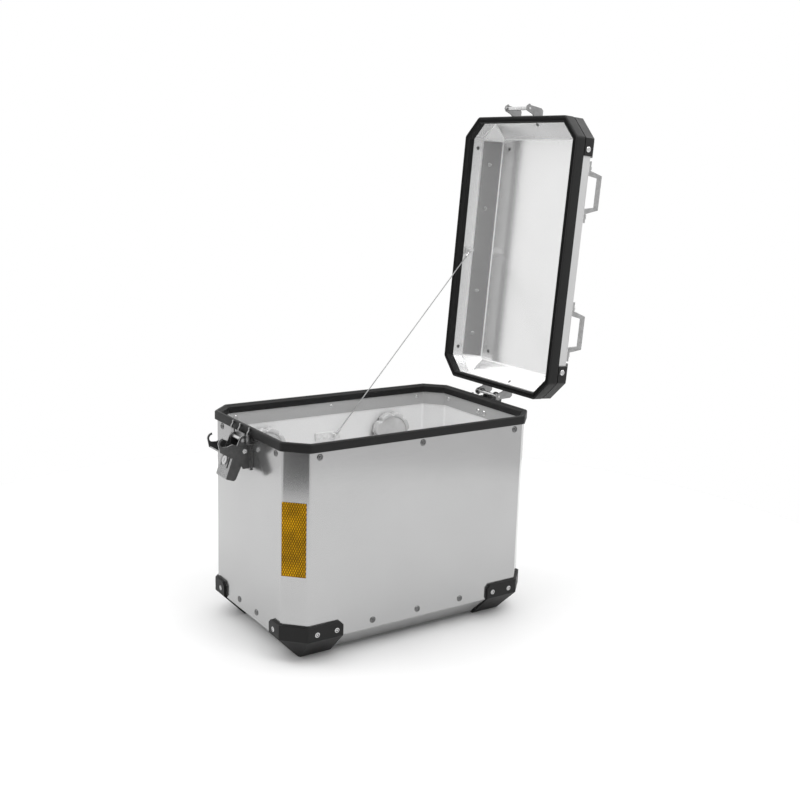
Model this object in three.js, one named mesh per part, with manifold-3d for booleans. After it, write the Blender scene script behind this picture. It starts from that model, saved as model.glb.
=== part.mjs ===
// Aluminium motorcycle side case with its lid open, in millimetres.
// +X runs along the case towards the end that the lid pivots on, -Y is the front, +Z is up.
// The origin is the centre of the case's inner floor. Pieces are drawn with z = 0 at the base's
// underside, and add() moves them down by the sheet's thickness. The lid is drawn shut and swung open.
import * as THREE from 'three';
import { mergeVertices } from 'three/addons/utils/BufferGeometryUtils.js';
import Module from 'manifold-3d';

const wasm = await Module();
wasm.setup();

// ---- driving dimensions ----
const HALF_LENGTH = 232; // outline of the black rim, which every other outline is inset from
const HALF_WIDTH = 145.4;
const CHAMFER = 32.8;
const RIM_TOP = 340;
const FOLD = 32; // height and inset of the bevel round the base
const SHEET = 1.5; // aluminium
const GAP = 0.3; // between pieces that touch
const WALL_INSET = 4.2; // the aluminium walls stand this far inside the rim
const RIM_HEIGHT = 14;
const RIM_WIDTH = 10;
const BAND_HEIGHT = 22;

const LID_FRAME_HEIGHT = 20.5;
const LID_FRAME_WIDTH = 11;
const LID_JOINT = 0.5; // height of the lid's lower edge over the rim
const LID_FOLD = 38;
const LID_TOP = 65;
const LID_BEVEL_INSET = 28;
const LID_ANGLE = 94.135; // degrees
const SEAL_DEPTH = 3;
const BASE_CORNER_CUT = 54.7; // the corner flats narrow to a few millimetres at the base
const LID_CORNER_CUT = 48.4; // and at the lid's top

const GUARD_HEIGHT = 57; // from the base's underside up to the top of the corner guards
const FOOT = 5; // the guards reach this far below the base
const GUARD_FRONT = 139; // where a guard ends along the long wall
const GUARD_END = 80; // and along the short wall

const CAP_THICKNESS = 3;
const CAP_FRONT = 171;
const CAP_END = 84;

const LOOP_FEET = [65, 164]; // lashing loops: ends of the two feet along the lid
const LOOP_LEGS = [80, 149]; // where the legs rise from the feet
const LOOP_BAR = [87, 142];
const LOOP_HEIGHT = 22;
const LOOP = { foot: 3, bar: 8, wide: 9 };

const LATCH_CENTRE = 8; // the latches sit a little behind the middle of the short walls
const PLATE = 2; // steel in the latches
const LEVER_PIVOT = [13, -20.3]; // outward from the wall, and up from the rim's top
const CLAW_PIVOT = [6.2, -35.3];
const KEEPER_BAR = [17, 3];
const BAR_RADIUS = 3;
const CLAW_LENGTH = 38;
const CLAW_LEAN = 16.5; // degrees outward from upright, latch shut
const HOOK_INNER = 5.5;
const HOOK_OUTER = 8.5;
const LEFT_LEVER_OPEN = 19; // degrees
const LEFT_CLAW_OPEN = 68.2; // degrees, claw against lever
const PIN_RADIUS = 3;
const RIVET_RADIUS = 2.5;
const RUNNING_FIT = 0.06;
const BASE_FLANGE = 15.7; // outer faces, measured from the latch's middle
const LEVER_ARM = 18;
const CLAW_PLATE = 20.3;
const KEEPER_FLANGE = 29;

const LEFT_KNOB_X = -132; // the pair suits the carrier, and isn't centred on the case
const RIGHT_KNOB_X = 120;
const KNOB_DEPTH = 80; // below the rim's top
const KNOB_RADIUS = 37;
const KNOB_LOBES = 8;
const KNOB_THICK = 15;

const degrees = THREE.MathUtils.degToRad;

// ---- colours ----
const ALUMINIUM = [0xc9cacc, 0.35, 0.9];
const BRIGHT = [0xd8d9db, 0.22, 1.0];
const LATCH_STEEL = [0x6b6c70, 0.4, 0.9];
const BLACK = [0x1a1a1c, 0.55, 0.0];
const RUBBER = [0x111112, 0.9, 0.0];
const AMBER = [0xd08a00, 0.35, 0.0];
const CLEAR_GREY = [0xb9bbbd, 0.4, 0.0];
const CORD = [0x9a9b9d, 0.5, 0.3];

// ---- building blocks ----
const part = new THREE.Group();
part.name = 'side_case';

function add(name, geometry, [color, roughness, metalness]) {
  const mesh = new THREE.Mesh(geometry, new THREE.MeshStandardMaterial({ color, roughness, metalness }));
  mesh.name = name;
  mesh.geometry.translate(0, 0, -SHEET);
  part.add(mesh);
}

// Turns every triangle round.
function flip(geometry) {
  const index = geometry.index.array;
  for (let i = 0; i < index.length; i += 3) {
    [index[i], index[i + 1]] = [index[i + 1], index[i]];
  }
  return geometry;
}

// Keeps positions only, with shared corners.
function weld(geometry) {
  const bare = geometry.clone();
  bare.deleteAttribute('normal');
  bare.deleteAttribute('uv');
  return mergeVertices(bare, 1e-4);
}

function signedVolume(geometry) {
  const corner = [0, 1, 2].map(() => new THREE.Vector3());
  const { array } = geometry.index;
  let volume = 0;
  for (let i = 0; i < array.length; i += 3) {
    corner.forEach((v, k) => v.fromBufferAttribute(geometry.attributes.position, array[i + k]));
    volume += corner[0].dot(corner[1].clone().cross(corner[2])) / 6;
  }
  return volume;
}

// Scales by +1 or -1 along X and Y and keeps the faces pointing out.
function mirrored(geometry, signX, signY = 1) {
  const copy = weld(geometry).scale(signX, signY, 1);
  return signX * signY < 0 ? flip(copy) : copy;
}

function toSolid(geometry) {
  const welded = weld(geometry);
  const mesh = new wasm.Mesh({
    numProp: 3,
    vertProperties: new Float32Array(welded.attributes.position.array),
    triVerts: new Uint32Array(welded.index.array),
  });
  return new wasm.Manifold(mesh);
}

function fromSolid(solid) {
  const mesh = solid.getMesh();
  const geometry = new THREE.BufferGeometry();
  geometry.setAttribute('position', new THREE.BufferAttribute(new Float32Array(mesh.vertProperties), 3));
  geometry.setIndex(new THREE.BufferAttribute(new Uint32Array(mesh.triVerts), 1));
  return geometry;
}

function union(...geometries) {
  return fromSolid(geometries.map(toSolid).reduce((a, b) => a.add(b)));
}

function subtract(geometry, ...tools) {
  return fromSolid(tools.map(toSolid).reduce((a, b) => a.subtract(b), toSolid(geometry)));
}

function intersect(a, b) {
  return fromSolid(toSolid(a).intersect(toSolid(b)));
}

// The eight-sided outline at a given inset from the rim's outside. A corner's cut is the distance
// from the rim's square corner to the flat across it; it grows with the inset unless given.
const cornerCut = (inset) => CHAMFER / Math.SQRT2 + inset;

function outline(inset, cut = cornerCut(inset)) {
  const x = HALF_LENGTH - inset;
  const y = HALF_WIDTH - inset;
  const c = cut * Math.SQRT2 - inset * 2;
  return [
    [x, c - y], [x, y - c], [x - c, y], [c - x, y],
    [-x, y - c], [-x, c - y], [c - x, -y], [x - c, -y],
  ];
}

// A solid whose skin runs through eight-sided sections of [inset, height, corner cut].
// A ring's last section joins its first; otherwise both ends are closed by a flat face.
function sweep(sections, ring = false) {
  const points = sections.flatMap(([inset, z, cut]) => outline(inset, cut).map(([x, y]) => [x, y, z]));
  const index = [];
  const sides = 8;
  const spans = ring ? sections.length : sections.length - 1;
  for (let s = 0; s < spans; s += 1) {
    const low = s * sides;
    const high = ((s + 1) % sections.length) * sides;
    for (let k = 0; k < sides; k += 1) {
      const next = (k + 1) % sides;
      index.push(low + k, low + next, high + next, low + k, high + next, high + k);
    }
  }
  if (!ring) {
    const last = (sections.length - 1) * sides;
    for (let k = 1; k < sides - 1; k += 1) {
      index.push(0, k + 1, k, last, last + k, last + k + 1);
    }
  }
  const geometry = new THREE.BufferGeometry();
  geometry.setAttribute('position', new THREE.Float32BufferAttribute(points.flat(), 3));
  geometry.setIndex(index);
  return signedVolume(geometry) < 0 ? flip(geometry) : geometry;
}

// Moves an open [inset, height] profile sideways by a distance; both ends keep their run.
function offset(profile, distance) {
  const normals = profile.slice(1).map(([inset, z], i) => {
    const run = new THREE.Vector2(inset - profile[i][0], z - profile[i][1]).normalize();
    return new THREE.Vector2(-run.y, run.x);
  });
  return profile.map(([inset, z], i) => {
    const before = normals[Math.max(i - 1, 0)];
    const after = normals[Math.min(i, normals.length - 1)];
    const middle = before.clone().add(after).normalize();
    const reach = distance / middle.dot(before);
    return [inset + middle.x * reach, z + middle.y * reach];
  });
}

// Adds the corner cuts of a second profile, of [cut, height], to a profile of the same length.
function withCuts(profile, corners) {
  return profile.map(([inset, z], i) => [inset, z, corners[i][0]]);
}

function shapeOf(points, holes = []) {
  const edgePoints = points.map(([x, y]) => new THREE.Vector2(x, y));
  const clockwise = THREE.ShapeUtils.isClockWise(edgePoints);
  const shape = new THREE.Shape(clockwise ? edgePoints.reverse() : edgePoints);
  holes.forEach(([x, y, radius]) => {
    const edge = arc([x, y], radius, 360, 18, 19);
    shape.holes.push(new THREE.Path(edge.map(([px, py]) => new THREE.Vector2(px, py))));
  });
  return shape;
}

// A plate with its outline in the X-Z plane, between two values of Y.
function plateXZ(points, y0, y1, holes = []) {
  const options = { depth: y1 - y0, bevelEnabled: false, curveSegments: 10 };
  const geometry = new THREE.ExtrudeGeometry(shapeOf(points, holes), options);
  return geometry.rotateX(Math.PI / 2).translate(0, y1, 0);
}

function plateXY(points, z0, z1) {
  const options = { depth: z1 - z0, bevelEnabled: false, curveSegments: 10 };
  return new THREE.ExtrudeGeometry(shapeOf(points), options).translate(0, 0, z0);
}

function box(x0, x1, y0, y1, z0, z1) {
  const geometry = new THREE.BoxGeometry(x1 - x0, y1 - y0, z1 - z0);
  return geometry.translate((x0 + x1) / 2, (y0 + y1) / 2, (z0 + z1) / 2);
}

// A round solid about an axis along Y, from [radius, y] pairs.
function turnedY(profile, x, z, sides = 20) {
  const geometry = new THREE.LatheGeometry(profile.map(([r, y]) => new THREE.Vector2(r, y)), sides);
  const welded = weld(geometry);
  return (signedVolume(welded) < 0 ? flip(welded) : welded).translate(x, 0, z);
}

function cylinderY(radius, y0, y1, x, z, sides = 20) {
  return turnedY([[0, y0], [radius, y0], [radius, y1], [0, y1]], x, z, sides);
}

function arc([x, y], radius, fromDegrees, toDegrees, steps = 8) {
  return Array.from({ length: steps + 1 }, (_, i) => {
    const angle = degrees(fromDegrees + ((toDegrees - fromDegrees) * i) / steps);
    return [x + radius * Math.cos(angle), y + radius * Math.sin(angle)];
  });
}

// ---- body ----
const wallInside = WALL_INSET + SHEET;
const spindleZ = RIM_TOP - KNOB_DEPTH;
const SPINDLE_RADIUS = 6;
const SPINDLE_HOLE = 8;

function buildBody() {
  const wallBottom = FOLD + GAP;
  const wallTop = RIM_TOP - 2 - GAP;
  const wall = sweep([
    [WALL_INSET, wallBottom], [WALL_INSET, wallTop], [wallInside, wallTop], [wallInside, wallBottom],
  ], true);
  const backWall = HALF_WIDTH - WALL_INSET;
  const holes = [LEFT_KNOB_X, RIGHT_KNOB_X].map((x) =>
    cylinderY(SPINDLE_HOLE, backWall - 5, backWall + 5, x, spindleZ));
  add('case_shell', subtract(wall, ...holes), ALUMINIUM);

  const upstand = wallInside + GAP;
  const upstandTop = FOLD + 22;
  const bevelInset = WALL_INSET + FOLD;
  const pan = sweep([
    [bevelInset + 0.6, SHEET, BASE_CORNER_CUT + 0.6], [upstand + SHEET, FOLD + 0.3],
    [upstand + SHEET, upstandTop], [upstand, upstandTop], [upstand, FOLD], [WALL_INSET, FOLD],
    [bevelInset, 0, BASE_CORNER_CUT],
  ]);
  add('base_pan', pan, ALUMINIUM);

  const rimBottom = RIM_TOP - RIM_HEIGHT;
  const slot = [WALL_INSET - GAP, wallInside + GAP];
  const rim = sweep([
    [0, rimBottom], [slot[0], rimBottom], [slot[0], RIM_TOP - 2], [slot[1], RIM_TOP - 2],
    [slot[1], rimBottom], [RIM_WIDTH, rimBottom], [RIM_WIDTH, RIM_TOP - 1.5],
    [RIM_WIDTH - 1.5, RIM_TOP], [1.5, RIM_TOP], [0, RIM_TOP - 1.5],
  ], true);
  add('case_rim', rim, BLACK);

  const bandTop = rimBottom - GAP;
  const band = sweep([
    [wallInside + GAP, bandTop - BAND_HEIGHT], [wallInside + GAP, bandTop],
    [wallInside + GAP + SHEET, bandTop], [wallInside + GAP + SHEET, bandTop - BAND_HEIGHT],
  ], true);
  add('rim_band', band, ALUMINIUM);
}

// Black guards that wrap the lower corners and carry the case's weight.
function buildGuards() {
  const heights = [GUARD_HEIGHT + 5, FOLD, 0, 0];
  const insets = [WALL_INSET, WALL_INSET, WALL_INSET + FOLD, HALF_WIDTH];
  const wallCut = cornerCut(WALL_INSET);
  const cuts = [wallCut, wallCut, BASE_CORNER_CUT, HALF_WIDTH];
  const profiles = [insets, cuts].map((values) => offset(values.map((v, i) => [v, heights[i]]), -GAP));
  const inside = withCuts(...profiles).slice(0, 3);
  const outside = [
    [0, GUARD_HEIGHT], [0, FOLD + 2], [WALL_INSET + FOLD + 1.4, -FOOT, BASE_CORNER_CUT + 0.6],
  ];
  const inner = [HALF_LENGTH - 62, HALF_WIDTH - 65];
  const region = plateXY([
    [HALF_LENGTH + 1, HALF_WIDTH + 1], [GUARD_FRONT, HALF_WIDTH + 1], [GUARD_FRONT, HALF_WIDTH - 50],
    [inner[0], inner[1]], [HALF_LENGTH + 1, GUARD_END],
  ], -FOOT - 1, GUARD_HEIGHT + 1);
  const clip = (x, y, turn) => {
    const edge = 4;
    return box(-edge, edge, -edge, edge, -edge, edge).rotateY(turn * Math.PI / 4)
      .rotateX((1 - turn) * Math.PI / 4).translate(x, y, GUARD_HEIGHT);
  };
  const clips = [clip(GUARD_FRONT, HALF_WIDTH - 2, 1), clip(HALF_LENGTH - 2, GUARD_END, 0)];
  const guard = subtract(intersect(sweep(outside), region), sweep(inside), ...clips);
  for (const [endName, x] of [['left', -1], ['right', 1]]) {
    for (const [sideName, y] of [['front', -1], ['back', 1]]) {
      add(`corner_guard_${sideName}_${endName}`, mirrored(guard, x, y), BLACK);
    }
  }
}

function buildReflector() {
  const width = 37;
  const thick = 1.5;
  const [bottom, top] = [RIM_TOP - 204.5, RIM_TOP - 91];
  const geometry = box(-width / 2, width / 2, -thick, 0, bottom, top);
  const corner = outline(WALL_INSET - GAP);
  const [left, front] = [corner[5], corner[6]];
  const slide = 0.45; // a little nearer to the short wall
  const x = left[0] + (front[0] - left[0]) * slide;
  const y = left[1] + (front[1] - left[1]) * slide;
  add('reflector', geometry.rotateZ(degrees(-45)).translate(x, y, 0), AMBER);
}

// ---- lid, drawn shut ----
const hinge = new THREE.Vector3(HALF_LENGTH - WALL_INSET + KEEPER_BAR[0], 0, RIM_TOP + KEEPER_BAR[1]);

function addToLid(name, geometry, look) {
  geometry.translate(-hinge.x, 0, -hinge.z).rotateY(degrees(LID_ANGLE)).translate(hinge.x, 0, hinge.z);
  add(name, geometry, look);
}

// The lid's outer skin moved out by a distance: its side wall, its bevel and the edge of its top.
function lidSkin(distance) {
  const heights = [8, LID_FOLD, LID_TOP, LID_TOP].map((z) => RIM_TOP + z);
  const insets = [WALL_INSET, WALL_INSET, WALL_INSET + LID_BEVEL_INSET, HALF_WIDTH];
  const wallCut = cornerCut(WALL_INSET);
  const cuts = [wallCut, wallCut, LID_CORNER_CUT, HALF_WIDTH];
  const profiles = [insets, cuts].map((values) => offset(values.map((v, i) => [v, heights[i]]), distance));
  return withCuts(...profiles).slice(0, 3);
}

function buildLid() {
  const outside = lidSkin(0);
  const inside = lidSkin(-SHEET);
  addToLid('lid_shell', sweep([...inside.reverse(), ...outside]), ALUMINIUM);

  const bottom = RIM_TOP + LID_JOINT;
  const top = bottom + LID_FRAME_HEIGHT;
  const slot = [WALL_INSET - GAP, wallInside + GAP];
  const slotBottom = RIM_TOP + 8 - GAP;
  const seal = [4.5, 8.5];
  const frame = sweep([
    [0, bottom], [0, top], [slot[0], top], [slot[0], slotBottom], [slot[1], slotBottom],
    [slot[1], bottom + 15], [8, bottom + 15], [8, slotBottom], [LID_FRAME_WIDTH, slotBottom],
    [LID_FRAME_WIDTH, bottom], [seal[1], bottom], [seal[1], bottom + SEAL_DEPTH],
    [seal[0], bottom + SEAL_DEPTH], [seal[0], bottom],
  ], true);
  addToLid('lid_frame', frame, BLACK);

  const sealTop = bottom + SEAL_DEPTH - GAP;
  const ring = sweep([
    [seal[0] + GAP, RIM_TOP + GAP], [seal[0] + GAP, sealTop],
    [seal[1] - GAP, sealTop], [seal[1] - GAP, RIM_TOP + GAP],
  ], true);
  addToLid('lid_seal', ring, RUBBER);
}

function buildLidCaps() {
  const bottom = RIM_TOP + LID_JOINT + LID_FRAME_HEIGHT + GAP;
  const inside = lidSkin(GAP);
  const outside = lidSkin(GAP + CAP_THICKNESS);
  inside[0][1] = bottom - 1;
  outside[0][1] = bottom;
  const region = plateXY([
    [HALF_LENGTH + 1, HALF_WIDTH + 1], [CAP_FRONT, HALF_WIDTH + 1], [CAP_FRONT, CAP_END + 8],
    [CAP_FRONT + 8, CAP_END], [HALF_LENGTH + 1, CAP_END],
  ], bottom - 2, RIM_TOP + LID_TOP + 10);
  const cap = subtract(intersect(sweep(outside), region), sweep(inside));
  for (const [endName, x] of [['left', -1], ['right', 1]]) {
    for (const [sideName, y] of [['front', -1], ['back', 1]]) {
      addToLid(`lid_cap_${sideName}_${endName}`, mirrored(cap, x, y), BLACK);
    }
  }
}

// Bent strips on the lid's long bevels, to strap luggage to.
function buildLashingLoops() {
  const { foot, bar, wide } = LOOP;
  const [footStart, footEnd] = LOOP_FEET;
  const [legStart, legEnd] = LOOP_LEGS;
  const [barStart, barEnd] = LOOP_BAR;
  const rise = LOOP_HEIGHT - bar;
  const strip = plateXZ([
    [footStart, GAP], [legStart + bar, GAP], [barStart + bar / 2, rise], [barEnd - bar / 2, rise],
    [legEnd - bar, GAP], [footEnd, GAP], [footEnd, GAP + foot], [legEnd, GAP + foot],
    [barEnd, LOOP_HEIGHT], [barStart, LOOP_HEIGHT], [legStart, GAP + foot], [footStart, GAP + foot],
  ], -wide / 2, wide / 2);
  const upBevel = 16.5; // from the fold to the strip's middle
  const bevel = new THREE.Vector2(LID_BEVEL_INSET, LID_TOP - LID_FOLD).normalize();
  const y = HALF_WIDTH - WALL_INSET - bevel.x * upBevel;
  const z = RIM_TOP + LID_FOLD + bevel.y * upBevel;
  const tilt = Math.PI / 2 - Math.atan2(bevel.x, bevel.y);
  const loop = strip.rotateX(-tilt).translate(0, y, z);
  for (const [endName, x] of [['left', -1], ['right', 1]]) {
    for (const [sideName, side] of [['front', -1], ['back', 1]]) {
      addToLid(`lashing_loop_${sideName}_${endName}`, mirrored(loop, x, side), ALUMINIUM);
    }
  }
}

// ---- latches, drawn shut at the +X end with X outward from the wall and Z up from the rim's top ----
const alongClaw = (q, p) => {
  const lean = degrees(CLAW_LEAN);
  return [
    CLAW_PIVOT[0] + q * Math.sin(lean) + p * Math.cos(lean),
    CLAW_PIVOT[1] + q * Math.cos(lean) - p * Math.sin(lean),
  ];
};

// Two equal plates either side of the latch's middle.
function pair(points, outerFace, holes) {
  return [-1, 1].map((side) => {
    const faces = [side * outerFace, side * (outerFace - PLATE)].sort((a, b) => a - b);
    return plateXZ(points, LATCH_CENTRE + faces[0], LATCH_CENTRE + faces[1], holes);
  });
}

function latchBase() {
  const centre = LATCH_CENTRE;
  const pinHole = [...LEVER_PIVOT, PIN_RADIUS + RUNNING_FIT];
  const flange = [
    [1, -26], [7.5, -14.5], [13, -14], [18, -17], [18.3, -22], [18, -60], [14, -62], [12, -66], [1, -66],
  ];
  const plateHalf = 29;
  const wallPlate = box(GAP, GAP + PLATE, centre - plateHalf, centre + plateHalf, -62, -26);
  const toe = box(GAP, GAP + PLATE, centre - plateHalf + 8, centre + plateHalf - 8, -68, -61);
  const shelf = box(GAP, 9.6, centre - plateHalf, centre + plateHalf, -26.5, -24.5);
  const front = box(7.6, 9.6, centre - plateHalf, centre + plateHalf + 3.5, -26, -11);
  const fingers = [-25, 6, 31].map((y) => {
    const finger = [
      [7.6, -13], [9.6, -13], [9.6, -8], [6.8, -4], [6.8, 0], [4.9, 0], [4.9, -4.6], [7.6, -8.6],
    ];
    return plateXZ(finger, centre + y - 1.5, centre + y + 1.5);
  });
  const armSlots = [-1, 1].map((side) => {
    const edges = [side * (BASE_FLANGE + 0.1), side * (CLAW_PLATE + 0.8)].sort((a, b) => a - b);
    return box(GAP + PLATE, 30, centre + edges[0], centre + edges[1], -30, 0);
  });
  const bracket = subtract(union(wallPlate, toe, shelf, front, ...fingers), ...armSlots);
  return union(bracket, ...pair(flange, BASE_FLANGE, [pinHole]));
}

function latchLever() {
  const front = 20.9;
  const pinHole = [...LEVER_PIVOT, PIN_RADIUS + RUNNING_FIT];
  const rivetHole = [...CLAW_PIVOT, RIVET_RADIUS + RUNNING_FIT];
  const side = [
    ...arc(LEVER_PIVOT, 6, -10, 150, 6), [2.6, -32], [2.6, -62], [4.5, -80],
    ...arc([9, -80], 4, 200, 270, 4), [front - 2, -84], [front, -82], [front, -46.5],
  ];
  const face = box(front - PLATE, front, LATCH_CENTRE - LEVER_ARM, LATCH_CENTRE + LEVER_ARM, -83, -46.5);
  const tail = box(9, front - 1, LATCH_CENTRE - LEVER_ARM, LATCH_CENTRE + LEVER_ARM, -84, -82);
  const window = box(front - 5, front + 1, LATCH_CENTRE - 12, LATCH_CENTRE + 12, -68, -50);
  const lockSeat = box(14, front - 0.6, LATCH_CENTRE - 7, LATCH_CENTRE + 12.4, -68.2, -49.6);
  const lockHole = turnedY([[0, -10], [5.5, -10], [5.5, 30], [0, 30]], 0, 0)
    .rotateZ(degrees(-90)).translate(0, LATCH_CENTRE + 3, -58);
  const body = union(...pair(side, LEVER_ARM, [pinHole, rivetHole]), face, tail);
  return subtract(union(subtract(body, window), lockSeat), lockHole);
}

function latchClaw() {
  const hook = [
    ...arc([CLAW_LENGTH, 0], HOOK_OUTER, -60.7, 24.3, 8),
    [37.6, 14.5], [15.8, 17.3], [3, 5.4], ...arc([0, 0], 3.6, 80, 250, 6), [23, -3.5], [30, 2.9],
    ...arc([CLAW_LENGTH, 0], HOOK_INNER, 114.3, -60.7, 12),
  ].map(([q, p]) => alongClaw(q, p));
  const rivetHole = [...CLAW_PIVOT, RIVET_RADIUS + RUNNING_FIT];
  const sheet = [[37.6, 14.5], [15.8, 17.3], [15.6, 15.3], [37.2, 12.5]].map(([q, p]) => alongClaw(q, p));
  const web = plateXZ(sheet, LATCH_CENTRE - CLAW_PLATE, LATCH_CENTRE + CLAW_PLATE);
  return union(...pair(hook, CLAW_PLATE, [rivetHole]), web);
}

function leverPin() {
  const half = LEVER_ARM + 0.1;
  return cylinderY(PIN_RADIUS, LATCH_CENTRE - half, LATCH_CENTRE + half, ...LEVER_PIVOT);
}

// A short rivet through one lever arm and the claw plate outside it.
function clawRivet(side) {
  const faces = [LEVER_ARM - PLATE - 0.1, CLAW_PLATE + 0.5].map((face) => LATCH_CENTRE + side * face);
  faces.sort((a, b) => a - b);
  return cylinderY(RIVET_RADIUS, faces[0], faces[1], ...CLAW_PIVOT);
}

function lockCylinder() {
  const stem = [[0, 14.5], [5.4, 14.5], [5.4, 21], [7, 21], [7, 22.3], [0, 22.3]];
  const body = turnedY(stem, 0, 0).rotateZ(degrees(-90));
  const keySlot = box(21.5, 23, -0.6, 0.6, -3.5, 3.5);
  return subtract(body, keySlot).translate(0, LATCH_CENTRE + 3, -58);
}

function keeper() {
  const [u, z] = KEEPER_BAR;
  const barHole = [u, z, 2 + RUNNING_FIT];
  const flange = [
    [u + 7.4, z - 1], [u + 5.2, z + 2], [u + 2.8, z + 25.5], [u - 1, z + 29.6], [0.6, z + 29.6],
    [0.6, z + 19], [4.7, z + 18], [4.7, z + 12.1], [8.7, z + 6.8], [u - 4.2, z - 5], [u - 0.3, z - 7.5],
    [u + 4, z - 6],
  ];
  const web = box(4.7, 6.7, LATCH_CENTRE - KEEPER_FLANGE, LATCH_CENTRE + KEEPER_FLANGE, z + 12.1, z + 29.6);
  return union(...pair(flange, KEEPER_FLANGE, [barHole]), web);
}

function keeperBar() {
  const shoulder = KEEPER_FLANGE - PLATE - GAP;
  const end = KEEPER_FLANGE + 0.6;
  const profile = [
    [0, -end], [2, -end], [2, -shoulder], [BAR_RADIUS, -shoulder], [BAR_RADIUS, shoulder],
    [2, shoulder], [2, end], [0, end],
  ];
  return turnedY(profile, ...KEEPER_BAR).translate(0, LATCH_CENTRE, 0);
}

// Turns latch pieces about a pivot; positive swings the lever's tail out.
function swing(geometry, [u, z], angle) {
  return geometry.translate(-u, 0, -z).rotateY(degrees(-angle)).translate(u, 0, z);
}

function buildLatch(endName, sign, leverAngle, clawAngle) {
  const wallX = HALF_LENGTH - WALL_INSET;
  const put = (name, geometry, look) => {
    add(`${endName}_${name}`, mirrored(geometry.translate(wallX, 0, RIM_TOP), sign), look);
  };
  const withLever = (geometry) => swing(geometry, LEVER_PIVOT, leverAngle);
  put('latch_base', latchBase(), LATCH_STEEL);
  put('lever_pin', leverPin(), BRIGHT);
  put('latch_lever', withLever(latchLever()), LATCH_STEEL);
  put('claw_rivet_front', withLever(clawRivet(-1)), BRIGHT);
  put('claw_rivet_back', withLever(clawRivet(1)), BRIGHT);
  put('lock_cylinder', withLever(lockCylinder()), BRIGHT);
  put('latch_claw', withLever(swing(latchClaw(), CLAW_PIVOT, clawAngle)), LATCH_STEEL);

  for (const [name, geometry] of [['keeper', keeper()], ['keeper_bar', keeperBar()]]) {
    const closed = mirrored(geometry.translate(wallX, 0, RIM_TOP), sign);
    addToLid(`${endName}_${name}`, closed, name === 'keeper' ? LATCH_STEEL : BRIGHT);
  }
}

// ---- lid stay ----
function buildLidStay() {
  const wallY = HALF_WIDTH - wallInside; // inner face of the back walls of case and lid
  const plateY = [wallY - GAP - PLATE, wallY - GAP];
  const lug = (x, z) => box(x - 1.5, x + 1.5, plateY[0] - 8, plateY[0] + 0.1, z - 4, z + 4);
  const lidEye = new THREE.Vector3(2.3, plateY[0] - 5, RIM_TOP + 28);
  const caseEye = new THREE.Vector3(5, plateY[0] - 5, RIM_TOP - 75);
  const lidAnchor = union(box(-3.7, 7.3, ...plateY, RIM_TOP + 21, RIM_TOP + 35), lug(lidEye.x, lidEye.z));
  const caseAnchor = union(box(-31, 19, ...plateY, RIM_TOP - 81, RIM_TOP - 68), lug(caseEye.x, caseEye.z));
  addToLid('lanyard_lid_anchor', lidAnchor, BRIGHT);
  add('lanyard_case_anchor', caseAnchor, BRIGHT);

  const openEye = lidEye.clone().sub(hinge).applyAxisAngle(new THREE.Vector3(0, 1, 0), degrees(LID_ANGLE));
  openEye.add(hinge);
  const direction = openEye.clone().sub(caseEye).normalize();
  const start = caseEye.clone().addScaledVector(direction, 6);
  const end = openEye.clone().addScaledVector(direction, -6);
  const section = shapeOf(arc([0, 0], 1, 0, 315, 7));
  const path = new THREE.LineCurve3(start, end);
  add('lanyard_cord', new THREE.ExtrudeGeometry(section, { steps: 40, extrudePath: path }), CORD);
}

// ---- carrier knobs: a grip inside the back wall that turns a clamp outside it ----
function buildKnob(endName, x) {
  const inner = HALF_WIDTH - wallInside;
  const outer = HALF_WIDTH - WALL_INSET;
  const plateFront = inner - GAP - 3;
  const gripBack = plateFront - GAP;
  const steps = KNOB_LOBES * 6;
  const edge = Array.from({ length: steps }, (_, i) => {
    const angle = (2 * Math.PI * i) / steps;
    const radius = KNOB_RADIUS - 1.6 + 1.6 * Math.cos(KNOB_LOBES * angle);
    return [x + radius * Math.cos(angle), spindleZ + radius * Math.sin(angle)];
  });
  const disc = plateXZ(edge, gripBack - KNOB_THICK, gripBack);
  const bore = cylinderY(SPINDLE_RADIUS + GAP, gripBack - 9, gripBack + 1, x, spindleZ);
  add(`${endName}_knob`, subtract(disc, bore), CLEAR_GREY);

  const plate = cylinderY(30, plateFront, inner - GAP, x, spindleZ, 32);
  const plateBore = cylinderY(SPINDLE_RADIUS + 0.3, plateFront - 1, inner + 1, x, spindleZ);
  add(`${endName}_knob_plate`, subtract(plate, plateBore), BLACK);

  const collar = outer + GAP;
  const profile = [
    [0, gripBack - 8.5], [SPINDLE_RADIUS, gripBack - 8.5], [SPINDLE_RADIUS, collar],
    [11, collar], [11, collar + 2.5], [0, collar + 2.5],
  ];
  add(`${endName}_knob_spindle`, turnedY(profile, x, spindleZ), BRIGHT);
  const lugY = collar + 2.5 + GAP;
  const lug = plateXZ([
    ...arc([x - 14, spindleZ], 11, 90, 270, 6), ...arc([x + 14, spindleZ], 11, -90, 90, 6),
  ], lugY, lugY + 5);
  add(`${endName}_clamp_lug`, lug, LATCH_STEEL);
}

buildBody();
buildGuards();
buildReflector();
buildLid();
buildLidCaps();
buildLashingLoops();
buildLatch('left', -1, LEFT_LEVER_OPEN, -LEFT_CLAW_OPEN);
buildLatch('right', 1, 0, 0);
buildLidStay();
buildKnob('left', LEFT_KNOB_X);
buildKnob('right', RIGHT_KNOB_X);

export default part;
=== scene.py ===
"""Aluminium motorcycle side case with its lid open, in metres, in the CAD model's frame."""
import math

import bmesh
import bpy
from mathutils import Matrix, Vector


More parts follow.
